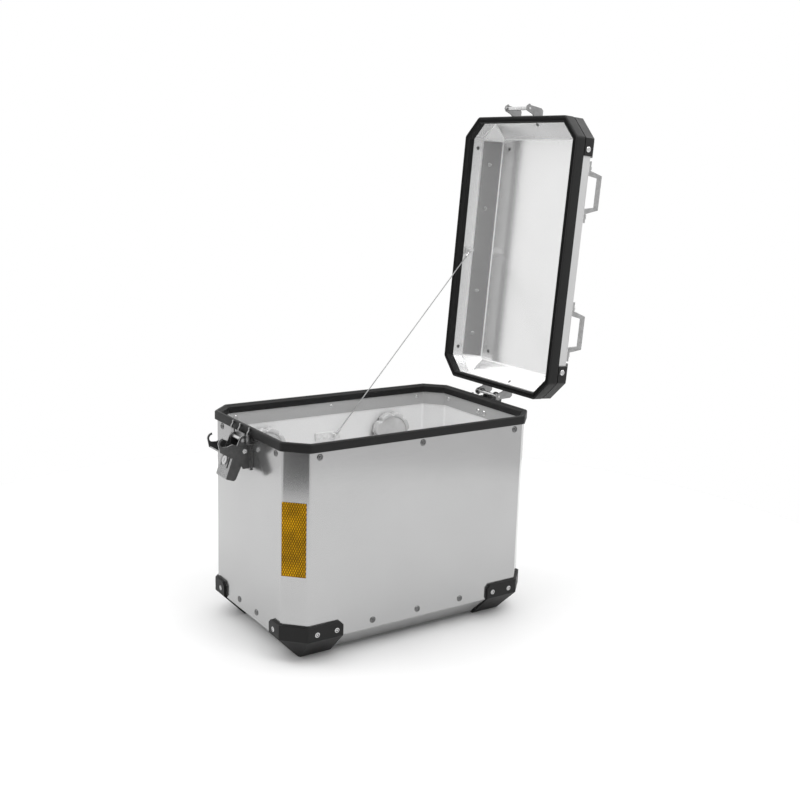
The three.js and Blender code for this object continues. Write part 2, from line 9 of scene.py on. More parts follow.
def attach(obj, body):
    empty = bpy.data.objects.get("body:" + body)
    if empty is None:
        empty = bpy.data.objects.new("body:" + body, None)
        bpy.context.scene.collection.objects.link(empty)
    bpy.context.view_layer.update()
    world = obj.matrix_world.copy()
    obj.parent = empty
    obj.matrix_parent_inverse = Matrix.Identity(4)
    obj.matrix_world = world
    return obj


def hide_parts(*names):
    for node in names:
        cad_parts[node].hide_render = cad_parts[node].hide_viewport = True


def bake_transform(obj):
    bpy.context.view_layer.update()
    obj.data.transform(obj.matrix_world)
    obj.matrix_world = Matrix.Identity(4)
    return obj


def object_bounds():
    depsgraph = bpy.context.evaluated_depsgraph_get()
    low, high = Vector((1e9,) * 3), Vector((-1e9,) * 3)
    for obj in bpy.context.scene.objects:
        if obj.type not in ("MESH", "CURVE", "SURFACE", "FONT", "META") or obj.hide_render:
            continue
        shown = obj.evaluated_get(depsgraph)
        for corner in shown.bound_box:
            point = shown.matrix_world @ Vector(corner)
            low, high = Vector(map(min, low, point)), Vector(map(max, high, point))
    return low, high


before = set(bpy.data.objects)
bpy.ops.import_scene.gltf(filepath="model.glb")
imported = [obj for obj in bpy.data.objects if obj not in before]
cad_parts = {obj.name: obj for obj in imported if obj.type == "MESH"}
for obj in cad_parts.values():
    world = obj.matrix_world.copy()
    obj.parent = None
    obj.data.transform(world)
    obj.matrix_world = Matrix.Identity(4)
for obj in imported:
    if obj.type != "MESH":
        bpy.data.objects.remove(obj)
cad_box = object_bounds()

MM = 0.001

# ---- main dimensions in millimetres, the same as the CAD model's ----
HALF_LENGTH = 232.0
HALF_WIDTH = 145.4
CHAMFER = 32.8
RIM_TOP = 340.0
FOLD = 32.0
SHEET = 1.5
GAP = 0.3  # left between neighbouring pieces
WALL_INSET = 4.2
WALL_INSIDE = WALL_INSET + SHEET
BEND_RADIUS = 7.0  # upright corners of the sheet metal
RIM_BEND = 4.0  # and of the plastic mouldings
RIM_HEIGHT = 14.0
RIM_WIDTH = 10.0
BAND_HEIGHT = 22.0
LID_ANGLE = math.radians(94.135)
LID_FOLD = 38.0
LID_TOP = 65.0
LID_BEVEL_INSET = 28.0
HINGE = Vector((244.8, 0.0, 343.0))

BASE_CORNER_CUT = 54.7  # the corner flats narrow towards the base
LID_CORNER_CUT = 48.4  # and towards the lid's top

# Shapes are drawn with z = 0 at the base's underside; the frame's origin is the inner floor.
STAND = Matrix.Translation((0.0, 0.0, -SHEET))
# Turns a point of the shut lid, in millimetres, to where it stands open.
OPEN_LID = (
    STAND @ Matrix.Translation(HINGE) @ Matrix.Rotation(LID_ANGLE, 4, "Y")
    @ Matrix.Translation(-HINGE)
)


# ---- camera, first ----
def make_camera():
    data = bpy.data.cameras.new("camera")
    data.sensor_width = 36.0
    data.lens = 48.66
    data.clip_end = 50.0
    camera = bpy.data.objects.new("camera", data)
    camera.location = (-0.9358, -1.4487, 0.7365)
    camera.rotation_euler = [math.radians(a) for a in (77.5645, -1.7220, -33.8733)]
    bpy.context.collection.objects.link(camera)
    bpy.context.scene.camera = camera


make_camera()


# ---- node materials ----
class Nodes:
    """Short names for the few shader nodes that every material here is made of."""

    def __init__(self, name):
        self.material = bpy.data.materials.new(name)
        self.material.use_nodes = True
        self.tree = self.material.node_tree
        self.shader = self.tree.nodes["Principled BSDF"]

    def new(self, kind, **values):
        node = self.tree.nodes.new(kind)
        for key, value in values.items():
            setattr(node, key, value)
        return node

    def link(self, source, target):
        self.tree.links.new(source, target)

    def position(self, scale=(1.0, 1.0, 1.0)):
        """Object coordinates in metres, stretched by a scale for each axis."""
        coordinates = self.new("ShaderNodeTexCoord")
        mapping = self.new("ShaderNodeMapping")
        mapping.inputs["Scale"].default_value = scale
        self.link(coordinates.outputs["Object"], mapping.inputs["Vector"])
        return mapping.outputs["Vector"]

    def noise(self, vector, scale, detail):
        node = self.new("ShaderNodeTexNoise")
        node.inputs["Scale"].default_value = scale
        node.inputs["Detail"].default_value = detail
        node.inputs["Roughness"].default_value = 0.55
        self.link(vector, node.inputs["Vector"])
        return node.outputs["Fac"]

    def ramp(self, factor, stops):
        node = self.new("ShaderNodeValToRGB")
        ramp = node.color_ramp
        while len(ramp.elements) < len(stops):
            ramp.elements.new(0.5)
        for element, (place, value) in zip(ramp.elements, stops):
            element.position = place
            element.color = (*value, 1.0) if isinstance(value, tuple) else (value, value, value, 1.0)
        self.link(factor, node.inputs["Fac"])
        return node.outputs["Color"]

    def multiply(self, one, other):
        node = self.new("ShaderNodeMix", data_type="RGBA", blend_type="MULTIPLY")
        node.inputs["Factor"].default_value = 1.0
        self.link(one, node.inputs[6])
        self.link(other, node.inputs[7])
        return node.outputs[2]

    def set(self, **values):
        for key, value in values.items():
            self.shader.inputs[key.replace("_", " ")].default_value = value

    def bump(self, height, strength, distance):
        node = self.new("ShaderNodeBump")
        node.inputs["Strength"].default_value = strength
        node.inputs["Distance"].default_value = distance
        self.link(height, node.inputs["Height"])
        self.link(node.outputs["Normal"], self.shader.inputs["Normal"])


def aluminium(name, grey, roughness, grain=(14.0, 300.0, 300.0), metallic=0.92, tooth=0.03):
    """Brushed and clear anodised sheet: long fine scratches, a fine grain, and faint clouds."""
    n = Nodes(name)
    scratches = n.noise(n.position(grain), scale=4.0, detail=3.0)
    fine = n.noise(n.position(), scale=650.0, detail=2.0)
    clouds = n.noise(n.position(), scale=9.0, detail=3.0)
    n.set(Metallic=metallic)
    base = n.ramp(clouds, [(0.25, grey * 0.95), (0.75, grey)])
    speckle = n.ramp(fine, [(0.3, 0.95), (0.7, 1.0)])
    n.link(n.multiply(base, speckle), n.shader.inputs["Base Color"])
    rough = n.ramp(scratches, [(0.3, roughness - 0.03), (0.7, roughness + 0.03)])
    n.link(rough, n.shader.inputs["Roughness"])
    n.bump(scratches, strength=tooth, distance=0.0002)
    return n.material


def plastic(name, grey, roughness, gloss=0.3):
    """Moulded plastic with a fine spark-eroded grain and faint patches."""
    n = Nodes(name)
    grain = n.noise(n.position(), scale=900.0, detail=2.0)
    patches = n.noise(n.position(), scale=30.0, detail=3.0)
    colour = n.ramp(patches, [(0.35, grey), (0.8, grey * 1.3)])
    n.link(colour, n.shader.inputs["Base Color"])
    rough = n.ramp(patches, [(0.3, roughness - 0.05), (0.75, roughness + 0.07)])
    n.link(rough, n.shader.inputs["Roughness"])
    n.set(Specular_IOR_Level=gloss)
    n.bump(grain, strength=0.35, distance=0.0003)
    return n.material


def steel(name, grey, roughness, scratch=0.2, metallic=0.9):
    """Pressed and plated metal with short scratches and a faint mottle."""
    n = Nodes(name)
    mottle = n.noise(n.position(), scale=160.0, detail=5.0)
    lines = n.noise(n.position((40.0, 900.0, 140.0)), scale=3.0, detail=2.0)
    colour = n.ramp(mottle, [(0.3, grey * 0.82), (0.72, grey * 1.1)])
    n.link(colour, n.shader.inputs["Base Color"])
    n.set(Metallic=metallic)
    rough = n.ramp(lines, [(0.3, roughness - 0.06), (0.7, roughness + 0.08)])
    n.link(rough, n.shader.inputs["Roughness"])
    n.bump(lines, strength=scratch, distance=0.0002)
    return n.material


def amber(name):
    """Reflective sheet: small diamond cells behind a clear face, dark where cells meet."""
    cells_per_metre = 95.0
    face_turn = math.radians(45.0)  # the reflector sits on a corner's flat
    n = Nodes(name)
    cells = []
    for lean in (38.0, -38.0):
        wave = n.new("ShaderNodeTexWave", wave_type="BANDS", bands_direction="X", wave_profile="SIN")
        wave.inputs["Scale"].default_value = cells_per_metre
        rotate = n.new("ShaderNodeMapping", vector_type="POINT")
        rotate.inputs["Rotation"].default_value = (0.0, math.radians(lean), face_turn)
        n.link(n.position(), rotate.inputs["Vector"])
        n.link(rotate.outputs["Vector"], wave.inputs["Vector"])
        cells.append(wave.outputs["Fac"])
    both = n.multiply(cells[0], cells[1])
    patches = n.ramp(n.noise(n.position(), scale=40.0, detail=2.0), [(0.35, 0.62), (0.7, 1.0)])
    stops = [(0.0, (0.16, 0.075, 0.0)), (0.35, (0.46, 0.23, 0.0)), (0.95, (0.72, 0.40, 0.0))]
    n.link(n.multiply(n.ramp(both, stops), patches), n.shader.inputs["Base Color"])
    n.set(Roughness=0.5, Specular_IOR_Level=0.1)
    n.bump(both, strength=0.4, distance=0.0004)
    return n.material


ALONG_LID = (300.0, 300.0, 14.0)  # the open lid's grain runs up it
SHELL = aluminium("brushed_aluminium", 0.46, 0.17, tooth=0.004)
INSIDE = aluminium("aluminium_inside", 0.90, 0.42, metallic=0.35)
BAND = aluminium("band_aluminium", 0.48, 0.42, metallic=0.5)
LID_METAL = aluminium("lid_aluminium", 0.66, 0.34, ALONG_LID)
LID_INSIDE = aluminium("lid_aluminium_inside", 0.9, 0.2, ALONG_LID, 0.75, 0.008)
# A near-white, almost unmetallic copy of the aluminium for the narrow faces round the inside folds: a
# painted highlight along each bend.
FOLD_PAINTED_HIGHLIGHT = aluminium("fold_painted_highlight", 0.97, 0.5, metallic=0.1)
BLACK = plastic("black_plastic", 0.008, 0.48, 0.22)
CAP_BLACK = plastic("cap_black_plastic", 0.010, 0.42, 0.26)
FOAM = plastic("seal_foam", 0.006, 0.9, 0.1)
LATCH = steel("latch_steel", 0.11, 0.38)
# A lighter copy of latch_steel: painted highlight on the latch parts' cut edges and folds, and painted
# light on their fronts.
LATCH_PAINTED_HIGHLIGHT = steel("latch_painted_highlight", 0.36, 0.28, 0.1)
KEEPER = steel("keeper_steel", 0.30, 0.34)
BRIGHT = steel("bright_steel", 0.66, 0.22, 0.1)
LOOP_METAL = steel("loop_aluminium", 0.50, 0.4, 0.15, 0.6)
RIVET = steel("rivet_aluminium", 0.17, 0.26, 0.3)
GUARD_RIVET = steel("guard_rivet_aluminium", 0.66, 0.26, 0.2)
AMBER = amber("amber_reflector")
KNOB = plastic("knob_plastic", 0.46, 0.4)
CORD_COAT = plastic("cord_coating", 0.34, 0.3)
ANCHOR = steel("anchor_steel", 0.85, 0.4, 0.1, 0.5)


# ---- mesh building blocks; shapes are drawn in millimetres and stored in metres ----
def mark_sharp(mesh, degrees=32.0):
    """Smooth faces, with edges sharper than an angle left as edges."""
    work = bmesh.new()
    work.from_mesh(mesh)
    bmesh.ops.recalc_face_normals(work, faces=work.faces)
    for face in work.faces:
        face.smooth = True
    for edge in work.edges:
        edge.smooth = len(edge.link_faces) == 2 and edge.calc_face_angle(0.0) < math.radians(degrees)
    work.to_mesh(mesh)
    work.free()


FOLD_FACE_WIDTH = 1.3


def line_inside(mesh, material, placed, height):
    """Gives the faces that look towards the middle, at a height, a second material, and the
    narrow ones round their folds a third: a near-white painted highlight along each bend."""
    mesh.materials.append(material)
    mesh.materials.append(FOLD_PAINTED_HIGHLIGHT)
    middle = placed @ Vector((0, 0, height)) * MM
    up = placed.to_3x3() @ Vector((0, 0, 1))
    for face in mesh.polygons:
        if face.normal.dot(face.center - middle) < 0:
            corners = [mesh.vertices[v].co for v in face.vertices]
            longest = max((corners[i] - corners[i - 1]).length for i in range(len(corners)))
            narrow = face.area < longest * FOLD_FACE_WIDTH * MM
            flat = abs(face.normal.dot(up)) > 0.99
            # Index 2 is the painted highlight on the folds.
            face.material_index = 2 if narrow and not flat else 1


def piece(name, points, faces, material, body, placed=STAND, replaces=(), slot=None):
    """A named mesh piece, drawn in millimetres, that rides on a body."""
    mesh = bpy.data.meshes.new(name)
    mesh.from_pydata([(placed @ Vector(p)) * MM for p in points], [], faces)
    mesh.validate()
    mark_sharp(mesh)
    mesh.materials.append(material)
    obj = bpy.data.objects.new(name, mesh)
    bpy.context.collection.objects.link(obj)
    if body:
        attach(obj, body)
    if replaces:
        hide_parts(*replaces)
    return obj


def soften(obj, width):
    """Rounds a piece's edges by a width in millimetres."""
    bevel = obj.modifiers.new("edges", "BEVEL")
    bevel.width = width * MM
    bevel.segments = 2
    bevel.limit_method = "ANGLE"
    bevel.angle_limit = math.radians(30.0)
    bevel.harden_normals = False


def corner_cut(inset):
    """Distance from the rim's square corner to the flat across it, for a parallel inset."""
    return CHAMFER / math.sqrt(2) + inset


def outline(inset, cut, radius, steps=6):
    """The eight-sided outline with its corners bent to a radius, counter-clockwise."""
    x = HALF_LENGTH - inset
    y = HALF_WIDTH - inset
    c = cut * math.sqrt(2) - inset * 2
    corners = [Vector(p) for p in (
        (x, c - y), (x, y - c), (x - c, y), (c - x, y),
        (-x, y - c), (-x, c - y), (c - x, -y), (x - c, -y),
    )]
    half = math.radians(22.5)
    bend = min(radius, 1.6 * c)
    points = []
    for i, corner in enumerate(corners):
        before = (corners[i - 1] - corner).normalized()
        after = (corners[(i + 1) % 8] - corner).normalized()
        centre = corner + (before + after).normalized() * bend / math.cos(half)
        start = corner + before * bend * math.tan(half) - centre
        for k in range(steps + 1):
            turn = 2 * half * k / steps
            x1 = start.x * math.cos(turn) - start.y * math.sin(turn)
            y1 = start.x * math.sin(turn) + start.y * math.cos(turn)
            points.append((centre.x + x1, centre.y + y1))
    return points


def rounded(profile, ring, steps=4):
    """A profile of (inset, height, corner cut or None, rounding) with each corner rounded."""
    full = [Vector((p[0], p[1], corner_cut(p[0]) if p[2] is None else p[2])) for p in profile]
    result = []
    for i, here in enumerate(full):
        soft = profile[i][3]
        end = not ring and i in (0, len(full) - 1)
        if end or soft == 0:
            result.append(here)
            continue
        before, after = full[i - 1], full[(i + 1) % len(full)]
        a = here + (before - here) * min(soft / (before - here).length, 0.49)
        b = here + (after - here) * min(soft / (after - here).length, 0.49)
        for k in range(steps + 1):
            t = k / steps
            result.append(a * (1 - t) ** 2 + here * (2 * t * (1 - t)) + b * t**2)
    return result


def sweep(profile, ring=False, bend=BEND_RADIUS):
    """Points and faces of a skin through eight-sided outlines, as in the CAD model.
    bend is the radius of the upright corners at inset WALL_INSET."""
    sections = rounded(profile, ring)
    points, faces = [], []
    for inset, z, cut in sections:
        radius = max(bend - (inset - WALL_INSET), 1.0)
        points += [(x, y, z) for x, y in outline(inset, cut, radius)]
    count = len(points) // len(sections)
    spans = len(sections) if ring else len(sections) - 1
    for s in range(spans):
        low, high = s * count, ((s + 1) % len(sections)) * count
        for k in range(count):
            n = (k + 1) % count
            faces.append((low + k, low + n, high + n, high + k))
    if not ring:
        faces.append(tuple(range(count)))
        faces.append(tuple(reversed(range(len(points) - count, len(points)))))
    return points, faces


def turned(profile, centre, axis, sides=24, ring=False):
    """Points and faces of a round solid: (radius, height) pairs about an axis from a centre.
    A ring's profile closes on itself, and leaves the middle open."""
    up = Vector(axis).normalized()
    side = up.orthogonal().normalized()
    other = up.cross(side)
    points, faces = [], []
    for radius, height in profile:
        for k in range(sides):
            angle = 2 * math.pi * k / sides
            reach = side * math.cos(angle) + other * math.sin(angle)
            points.append(tuple(Vector(centre) + up * height + reach * max(radius, 0.01)))
    for s in range(len(profile) if ring else len(profile) - 1):
        for k in range(sides):
            n = (k + 1) % sides
            a, b = s * sides, (s + 1) % len(profile) * sides
            faces.append((a + k, a + n, b + n, b + k))
    if not ring:
        faces.append(tuple(reversed(range(sides))))
        faces.append(tuple(range(len(points) - sides, len(points))))
    return points, faces


def join(parts):
    """Several (points, faces) as one."""
    points, faces = [], []
    for more, loops in parts:
        start = len(points)
        points += more
        faces += [tuple(i + start for i in loop) for loop in loops]
    return points, faces


def tube(path, radius, sides=10):
    """A round tube through points, closed at both ends."""
    spots = [Vector(p) for p in path]
    points, faces = [], []
    side = None
    for i, spot in enumerate(spots):
        along = (spots[min(i + 1, len(spots) - 1)] - spots[max(i - 1, 0)]).normalized()
        side = along.orthogonal() if side is None else side - along * side.dot(along)
        side.normalize()
        other = along.cross(side)
        for k in range(sides):
            angle = 2 * math.pi * k / sides
            points.append(tuple(spot + (side * math.cos(angle) + other * math.sin(angle)) * radius))
    for s in range(len(spots) - 1):
        for k in range(sides):
            n = (k + 1) % sides
            a, b = s * sides, (s + 1) * sides
            faces.append((a + k, a + n, b + n, b + k))
    faces.append(tuple(reversed(range(sides))))
    faces.append(tuple(range(len(points) - sides, len(points))))
    return points, faces


def keep(node, material, edge):
    """Keeps a CAD node's own shape, with a finished material and rounded edges."""
    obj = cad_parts[node]
    obj.data.materials.clear()
    obj.data.materials.append(material)
    soften(obj, edge)


# ---- sheet-metal body; a profile's rows are (inset, height, corner cut or None, rounding) ----
RIM_SKIN = 2.0  # plastic over the wall's edge
RIM_SLOT = (3.9, 6.0)  # the wall's edge sits in it
UPSTAND = 22.0  # the tray's edge stands this far up inside the wall
LINING = WALL_INSIDE + GAP


def make_walls():
    low, high = FOLD + GAP, RIM_TOP - RIM_SKIN - GAP
    shell = [
        (WALL_INSET, low, None, 0.3), (WALL_INSET, high, None, 0),
        (WALL_INSIDE, high, None, 0), (WALL_INSIDE, low, None, 0.3),
    ]
    skin = sweep(shell, True)
    walls = piece("case_walls", *skin, SHELL, "case", STAND, ["case_shell"], "shell_aluminium")
    line_inside(walls.data, INSIDE, STAND, RIM_TOP / 2)


def make_tray():
    bevel_end = WALL_INSET + FOLD
    top = FOLD + UPSTAND
    pan = [
        (bevel_end + 0.6, SHEET, BASE_CORNER_CUT + 0.6, 0), (LINING + SHEET, FOLD + 0.3, None, 3),
        (LINING + SHEET, top, None, 0), (LINING, top, None, 0), (LINING, FOLD, None, 0),
        (WALL_INSET, FOLD, None, 1.2), (bevel_end, 0, BASE_CORNER_CUT, 0),
    ]
    tray = piece("base_tray", *sweep(pan), SHELL, "case", STAND, ["base_pan"], "shell_aluminium")
    line_inside(tray.data, INSIDE, STAND, RIM_TOP / 2)


def make_rim():
    low = RIM_TOP - RIM_HEIGHT
    slot_top = RIM_TOP - RIM_SKIN
    rim = [
        (0, low, None, 0.8), (RIM_SLOT[0], low, None, 0.3), (RIM_SLOT[0], slot_top, None, 0),
        (RIM_SLOT[1], slot_top, None, 0), (RIM_SLOT[1], low, None, 0.2), (RIM_WIDTH, low, None, 0.6),
        (RIM_WIDTH, RIM_TOP - 3.6, None, 0.8), (6.4, RIM_TOP - 1.5, None, 0.4),
        (5.2, RIM_TOP - 0.2, None, 0.6), (1.4, RIM_TOP, None, 0.9), (0, RIM_TOP - 1.8, None, 0.9),
    ]
    moulding = sweep(rim, True, RIM_BEND)
    piece("rim_moulding", *moulding, BLACK, "case", STAND, ["case_rim"], "black_plastic")

    top = low - GAP
    band = [
        (LINING, top - BAND_HEIGHT, None, 0.2), (LINING, top, None, 0.2),
        (LINING + SHEET, top, None, 0.2), (LINING + SHEET, top - BAND_HEIGHT, None, 0.4),
    ]
    piece("rim_strip", *sweep(band, True), BAND, "case", STAND, ["rim_band"], "shell_aluminium")


# ---- lid ----
LID_EDGE = RIM_TOP + 8.0  # the sheet's lower edge, inside the frame
CEILING_INSET, CEILING_CUT = 60.0, 88.0  # a ring on the lid's flat top, which a flat face closes
FRAME_LOW, FRAME_HIGH = RIM_TOP + 0.5, RIM_TOP + 21.0
FRAME_FLOOR = FRAME_LOW + 7.2


def make_lid_pressing():
    bevel_end = WALL_INSET + LID_BEVEL_INSET
    top = RIM_TOP + LID_TOP
    fold = RIM_TOP + LID_FOLD
    outer = [
        (WALL_INSET, LID_EDGE, None, 0), (WALL_INSET, fold, None, 1.6),
        (bevel_end, top, LID_CORNER_CUT, 2.2), (CEILING_INSET, top, CEILING_CUT, 0),
    ]
    inner = [
        (CEILING_INSET, top - SHEET, CEILING_CUT, 0),
        (bevel_end + 0.6, top - SHEET, LID_CORNER_CUT + 0.6, 2.2),
        (WALL_INSIDE, fold - 0.6, None, 1.5), (WALL_INSIDE, LID_EDGE, None, 0),
    ]
    skin = sweep(inner + outer)
    lid = piece("lid_pressing", *skin, LID_METAL, "lid", OPEN_LID, ["lid_shell"], "shell_aluminium")
    line_inside(lid.data, LID_INSIDE, OPEN_LID, RIM_TOP + 20)


def make_lid_frame():
    """The plastic frame, grooved under its cap line and on its lower face, and its foam seal."""
    low, high = FRAME_LOW, FRAME_HIGH
    cap_line = [(0, low, None, 2.4), (0, high - 2.4, None, 0.3), (1.8, high - 2.2, None, 0.3)]
    sheet_slot = [
        (1.8, high, None, 0.2), (RIM_SLOT[0], high, None, 0.2), (RIM_SLOT[0], FRAME_FLOOR, None, 0),
        (RIM_SLOT[1], FRAME_FLOOR, None, 0), (RIM_SLOT[1], low + 15, None, 0.3),
    ]
    inner_lip = [
        (8, low + 15, None, 0.6), (8, FRAME_FLOOR, None, 0.3), (11, FRAME_FLOOR, None, 0.8),
        (11, low + 1.8, None, 0.3), (9.6, low + 1.6, None, 0.2), (9.4, low + 0.2, None, 0.4),
    ]
    seal_groove = [
        (8.5, low, None, 0.2), (8.5, low + 3, None, 0), (4.5, low + 3, None, 0), (4.5, low, None, 0.2),
    ]
    fine_groove = [
        (4.1, low, None, 0.2), (4.0, low + 1.6, None, 0.2), (2.8, low + 1.6, None, 0.2),
        (2.7, low, None, 0.3),
    ]
    section = cap_line + sheet_slot + inner_lip + seal_groove + fine_groove
    moulding = sweep(section, True, RIM_BEND)
    piece("lid_frame_moulding", *moulding, BLACK, "lid", OPEN_LID, ["lid_frame"], "black_plastic")

    bottom, top = RIM_TOP + GAP, low + 3 - GAP
    seal = [
        (4.8, bottom, None, 0.9), (4.8, top, None, 0.2), (8.2, top, None, 0.2), (8.2, bottom, None, 0.9),
    ]
    foam = sweep(seal, True, RIM_BEND)
    piece("lid_foam", *foam, FOAM, "lid", OPEN_LID, ["lid_seal"], "seal_rubber")


# ---- rivets ----
# A dome with a dished middle: (radius, height) pairs for a head 10.4 mm across.
DOME = (
    (0, -0.6), (5.2, -0.6), (5.2, 0.3), (4.7, 1.0), (3.7, 1.45), (2.9, 1.5), (2.6, 0.7),
    (1.9, 0.6), (1.6, 1.2), (0.9, 1.45), (0, 1.45),
)
SIDES = (-1, 1)
FRONT_WALL = HALF_WIDTH - WALL_INSET
END_WALL = HALF_LENGTH - WALL_INSET
LINING_FACE = 3.3  # from a wall's outside to the face of the band inside it
TOP_ROW = RIM_TOP - 22
BOTTOM_ROW = RIM_TOP - 295
END_BOTTOM_ROW = RIM_TOP - 293.5
GUARD_ROW = RIM_TOP - 296
GUARD_SINK = 1.1  # the guards' rivets sit this far below their faces
CAP_FACE = 3.3  # from the lid's sheet to a cap's or a loop foot's face


def rivets(name, spots, material, body, placed=STAND, size=1.0):
    """Blind rivets as one piece, from (place, direction) pairs."""
    profile = [(r * size, h * size) for r, h in DOME]
    heads = join([turned(profile, spot, axis, 20) for spot, axis in spots])
    piece(name, *heads, material, body, placed, slot="bright_steel")


def make_wall_rivets():
    outside, inside, latch = [], [], []
    for side in SIDES:
        out_y, out_x = (0, side, 0), (side, 0, 0)
        outside += [((x, side * FRONT_WALL, TOP_ROW), out_y) for x in (-182, 0, 182)]
        outside += [((x, side * FRONT_WALL, BOTTOM_ROW), out_y) for x in (-84, 0, 84)]
        outside += [((side * END_WALL, y, TOP_ROW), out_x) for y in (-92, 92)]
        outside += [((side * END_WALL, y, END_BOTTOM_ROW), out_x) for y in (-30, 30)]
        back_y, back_x = (0, -side, 0), (-side, 0, 0)
        lining_y, lining_x = side * (FRONT_WALL - LINING_FACE), side * (END_WALL - LINING_FACE)
        inside += [((x, lining_y, TOP_ROW), back_y) for x in (-182, 0, 182)]
        inside += [((lining_x, y, TOP_ROW - 1), back_x) for y in (-98, 98)]
        latch += [((lining_x, y, TOP_ROW - 6), back_x) for y in (-6, 10)]
    rivets("wall_rivets", outside, RIVET, "case")
    rivets("wall_rivet_tails", inside, GUARD_RIVET, "case", size=0.7)
    rivets("latch_fixings", latch, BRIGHT, "case", size=0.95)


def make_guard_rivets():
    guards = []
    for y in SIDES:
        front = y * (HALF_WIDTH - GUARD_SINK)
        guards += [((x * sx, front, GUARD_ROW), (0, y, 0)) for x in (150, 184) for sx in SIDES]
        guards += [((sx * (HALF_LENGTH - GUARD_SINK), y * 93, GUARD_ROW), (sx, 0, 0)) for sx in SIDES]
    rivets("guard_rivets", guards, GUARD_RIVET, "case", size=0.92)


def on_long_bevel(x, side, along, out):
    """A place on a long bevel of the lid: along the bevel from its fold, and out from its sheet."""
    run = Vector((LID_BEVEL_INSET, LID_TOP - LID_FOLD)).normalized()
    y = FRONT_WALL - run.x * along + run.y * out
    return x, side * y, RIM_TOP + LID_FOLD + run.y * along + run.x * out


def make_lid_rivets():
    loop_rivets, middle_of_strip = (75, 154), 16.5
    slope = Vector((LID_BEVEL_INSET, LID_TOP - LID_FOLD)).normalized()
    cap, tails, loop_tails, loops = [], [], [], []
    for sx in SIDES:
        for sy in SIDES:
            cap.append(((sx * 181, sy * (FRONT_WALL + CAP_FACE), RIM_TOP + 29), (0, sy, 0)))
            cap.append(((sx * 183, sy * 95, RIM_TOP + LID_TOP + 2.0), (0, 0, 1)))
            tails.append(((sx * 181, sy * (FRONT_WALL - SHEET), RIM_TOP + 27), (0, -sy, 0)))
            tails.append(((sx * 183, sy * 95, RIM_TOP + LID_TOP - SHEET), (0, 0, -1)))
            for x in loop_rivets:
                inside = on_long_bevel(sx * x, sy, middle_of_strip, -SHEET)
                outside = on_long_bevel(sx * x, sy, middle_of_strip, CAP_FACE)
                loop_tails.append((inside, (0, -sy * slope.y, -slope.x)))
                loops.append((outside, (0, sy * slope.y, slope.x)))
        x = sx * (END_WALL - slope.x * 6 - slope.y * SHEET)
        z = RIM_TOP + LID_FOLD + slope.y * 6 - slope.x * SHEET
        tails.append(((x, 0, z), (-sx * slope.y, 0, -slope.x)))
    rivets("cap_rivets", cap, GUARD_RIVET, "lid", OPEN_LID, 0.9)
    rivets("lid_rivet_tails", tails, RIVET, "lid", OPEN_LID, 0.62)
    rivets("loop_rivet_tails", loop_tails, GUARD_RIVET, "lid", OPEN_LID, 0.7)
    rivets("loop_rivets", loops, GUARD_RIVET, "lid", OPEN_LID, 0.8)


# ---- hollow rivets that the claws turn on ----
LATCH_CENTRE = 8.0
LEVER_PIVOT = Vector((13.0, -20.3))
CLAW_PIVOT = Vector((6.2, -35.3))
LEFT_LEVER_OPEN = math.radians(19.0)
CLAW_FACE = 20.9
RIVET_FLANGE = (
    (1.9, -1.5), (3.6, 0), (3.75, 0.3), (3.6, 0.8), (2.9, 1.0), (2.2, 0.9), (1.9, 0.4), (1.6, -1.5),
)


def make_rivet_flanges(end, sign, lever_angle):
    """The turned-out rims of the two hollow rivets that a claw turns on."""
    turn = Matrix.Rotation(lever_angle, 2)
    pivot = LEVER_PIVOT + turn @ (CLAW_PIVOT - LEVER_PIVOT)
    x = sign * (END_WALL + pivot.x)
    rims = []
    for side in SIDES:
        spot = (x, LATCH_CENTRE + side * CLAW_FACE, RIM_TOP + pivot.y)
        rims.append(turned(RIVET_FLANGE, spot, (0, side, 0), 28, True))
    piece(f"{end}_claw_flanges", *join(rims), BRIGHT, f"{end}_lever", STAND, slot="bright_steel")


# ---- knobs inside the back wall ----
KNOB_DEPTH = 80.0
KNOB_RADIUS = 37.0
KNOB_BACK, KNOB_FACE = 136.1, 121.1
KNOB_LOBES = 8
NOTCH_DEPTH = 4.2
NOTCH_RINGS = (0.80, 0.94)  # the notches fade in from the raised rim to the knob's side
# From the back, round the side and the raised rim, to the middle of the dish: shares of the
# knob's radius and of its depth.
KNOB_RINGS = (
    (0.90, 0.0), (0.97, 0.06), (1.0, 0.16), (1.0, 0.84), (0.98, 0.94), (0.94, 1.0),
    (0.84, 1.0), (0.80, 0.97), (0.78, 0.86), (0.55, 0.90), (0.25, 0.92), (0.0, 0.93),
)


def make_knob(end, x):
    """A lobed grip with a raised rim round a shallow dish, and finger notches in its side."""
    steps = KNOB_LOBES * 14
    height = RIM_TOP - KNOB_DEPTH
    inner, outer = NOTCH_RINGS
    points, faces = [], []
    for scale, out in KNOB_RINGS:
        y = KNOB_BACK - (KNOB_BACK - KNOB_FACE) * out
        notched = min(1.0, max(0.0, (scale - inner) / (outer - inner)))
        for k in range(steps):
            angle = 2 * math.pi * (k + 0.5) / steps
            notch = max(0.0, math.cos(KNOB_LOBES * angle)) ** 3
            radius = max(KNOB_RADIUS * scale - NOTCH_DEPTH * notch * notched, 0.05)
            points.append((x + radius * math.cos(angle), y, height + radius * math.sin(angle)))
    for s in range(len(KNOB_RINGS) - 1):
        for k in range(steps):
            n = (k + 1) % steps
            a, b = s * steps, (s + 1) * steps
            faces.append((a + k, a + n, b + n, b + k))
    faces.append(tuple(range(steps)))
    faces.append(tuple(reversed(range(len(points) - steps, len(points)))))
    piece(f"{end}_grip", points, faces, KNOB, f"{end}_clamp", STAND, [f"{end}_knob"], "knob_plastic")


